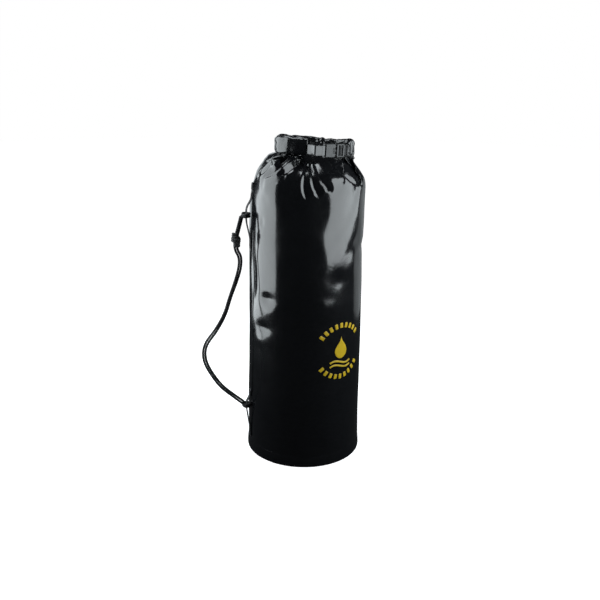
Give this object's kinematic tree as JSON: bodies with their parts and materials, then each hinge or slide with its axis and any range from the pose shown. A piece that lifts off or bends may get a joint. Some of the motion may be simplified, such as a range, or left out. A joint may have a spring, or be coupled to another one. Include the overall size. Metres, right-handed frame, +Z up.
{
  "type": "dry bag",
  "caption": "Standing cylindrical roll-top dry bag with a welded base, a rolled mouth closed by a side-release buckle, and a knotted carry cord on its side.",
  "frame": {"origin": "centre of the base, on the face that the bag stands on", "axes": "+Z up along the bag, -Y towards the side that carries the buckle, -X towards the side that carries the cord"},
  "size_m": [0.3378, 0.2486, 0.6842],
  "materials": {
    "coated_fabric": "high-gloss black coated fabric",
    "print_ink": "satin yellow screen print",
    "webbing": "woven black webbing",
    "cord": "braided black cord",
    "stiffener": "extruded strip",
    "buckle_plastic": "moulded black acetal"
  },
  "bodies": {
    "bag": {"bag_tube": "coated_fabric", "base_disc": "coated_fabric", "base_band": "coated_fabric", "side_strip": "coated_fabric", "emblem_print": "print_ink", "upper_webbing_loop": "webbing", "lower_webbing_loop": "webbing"},
    "roll_top": {"rolled_neck": "coated_fabric", "gathered_mouth": "coated_fabric", "mouth_stiffener": "stiffener", "closure_tongue": "coated_fabric", "buckle_socket": "buckle_plastic"},
    "plug": {"buckle_plug": "buckle_plastic", "closure_webbing": "webbing"},
    "upper_prong": {"upper_prong": "buckle_plastic"},
    "lower_prong": {"lower_prong": "buckle_plastic"},
    "carry_cord": {"cord_strand_outer": "cord", "cord_strand_inner": "cord", "cord_knot": "cord", "upper_hitch": "cord", "lower_hitch": "cord"}
  },
  "joints": [
    {"name": "mouth_unroll", "type": "slide", "parent": "bag", "child": "roll_top", "axis": [0, 0, 1], "range_m": [0, 0.15]},
    {"name": "buckle_release", "type": "slide", "parent": "roll_top", "child": "plug", "axis": [0.8862, 0.4617, -0.0387], "range_m": [0, 0.018], "deforming": ["closure_webbing"]},
    {"name": "upper_button", "type": "hinge", "parent": "plug", "child": "upper_prong", "pos_m": [0.05362, -0.06235, 0.66712], "axis": [0.4613, -0.887, -0.0201], "range_deg": [0, 11], "stiffness_Nm_per_rad": 0.12},
    {"name": "lower_button", "type": "hinge", "parent": "plug", "child": "lower_prong", "pos_m": [0.05294, -0.06235, 0.65154], "axis": [-0.4613, 0.887, 0.0201], "range_deg": [0, 11], "stiffness_Nm_per_rad": 0.12},
    {"name": "cord_swing", "type": "hinge", "parent": "bag", "child": "carry_cord", "pos_m": [-0.12348, -0.04494, 0.108], "axis": [0.0054, 0.002, 1], "range_deg": [-60, 60]}
  ]
}
